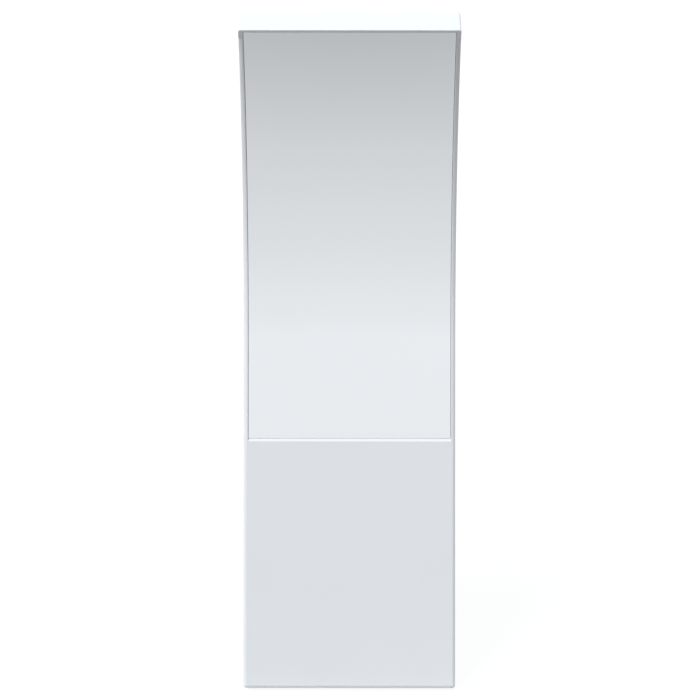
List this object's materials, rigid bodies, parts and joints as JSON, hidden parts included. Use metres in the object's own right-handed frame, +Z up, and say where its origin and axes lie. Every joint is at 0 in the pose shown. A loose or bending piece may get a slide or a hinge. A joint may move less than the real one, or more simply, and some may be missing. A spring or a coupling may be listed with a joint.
{
  "type": "floor mirror",
  "caption": "Free-standing floor mirror: two shaped side boards carry a concave mirror under a sloping cap, above a plain leaning front panel, with a closed back.",
  "frame": {"origin": "on the floor, under the middle of the part's bounding box", "axes": "+Z up, -Y towards the person in front of the mirror, +X to the right seen from the front"},
  "size_m": [0.35, 0.3666, 1.0887],
  "materials": {
    "white_paint": "board with a smooth satin white coat, eased edges",
    "mirror": "silvered sheet, bent to the frame",
    "white_hardboard": "thin hardboard, white on its outer face",
    "raw_hardboard": "bare hardboard",
    "foam_tape": "double-sided foam mounting tape",
    "beech": "fluted beech, bare",
    "zinc_steel": "zinc-plated steel",
    "zinc_alloy": "die-cast alloy",
    "white_plastic": "moulded, slightly textured"
  },
  "bodies": {
    "root": {"side_board_left": "white_paint", "side_board_right": "white_paint", "top_board": "white_paint", "bottom_board": "white_paint", "middle_board": "white_paint", "lower_front_panel": "white_paint", "mirror_support_rail": "white_paint", "upper_rail": "white_paint", "mirror": "mirror", "back_panel": "white_hardboard", "mirror_backing_board": "raw_hardboard", "mirror_tape_strip_1": "foam_tape", "mirror_tape_strip_2": "foam_tape", "mirror_tape_strip_3": "foam_tape", "top_board_dowel_1": "beech", "top_board_dowel_2": "beech", "top_board_dowel_3": "beech", "top_board_dowel_4": "beech", "bottom_board_dowel_1": "beech", "bottom_board_dowel_2": "beech", "bottom_board_dowel_3": "beech", "bottom_board_dowel_4": "beech", "middle_board_dowel_1": "beech", "middle_board_dowel_2": "beech", "middle_board_dowel_3": "beech", "middle_board_dowel_4": "beech", "support_rail_dowel_1": "beech", "support_rail_dowel_2": "beech", "support_rail_dowel_3": "beech", "support_rail_dowel_4": "beech", "upper_rail_dowel_1": "beech", "upper_rail_dowel_2": "beech", "upper_rail_dowel_3": "beech", "upper_rail_dowel_4": "beech", "cam_bolt_1": "zinc_steel", "cam_bolt_2": "zinc_steel", "corner_block_screw_1": "zinc_steel", "corner_block_screw_2": "zinc_steel", "corner_block_screw_3": "zinc_steel", "corner_block_screw_4": "zinc_steel", "corner_block_screw_5": "zinc_steel", "corner_block_screw_6": "zinc_steel", "corner_block_screw_7": "zinc_steel", "corner_block_screw_8": "zinc_steel", "back_panel_screw_1": "zinc_steel", "back_panel_screw_2": "zinc_steel", "back_panel_screw_3": "zinc_steel", "back_panel_screw_4": "zinc_steel", "cam_housing_1": "zinc_alloy", "cam_housing_2": "zinc_alloy", "panel_corner_block_1": "white_plastic", "panel_corner_block_2": "white_plastic", "panel_corner_block_3": "white_plastic", "panel_corner_block_4": "white_plastic", "foot_glide_front_left": "white_plastic", "foot_glide_front_right": "white_plastic", "foot_glide_rear_left": "white_plastic", "foot_glide_rear_right": "white_plastic"}
  },
  "joints": []
}
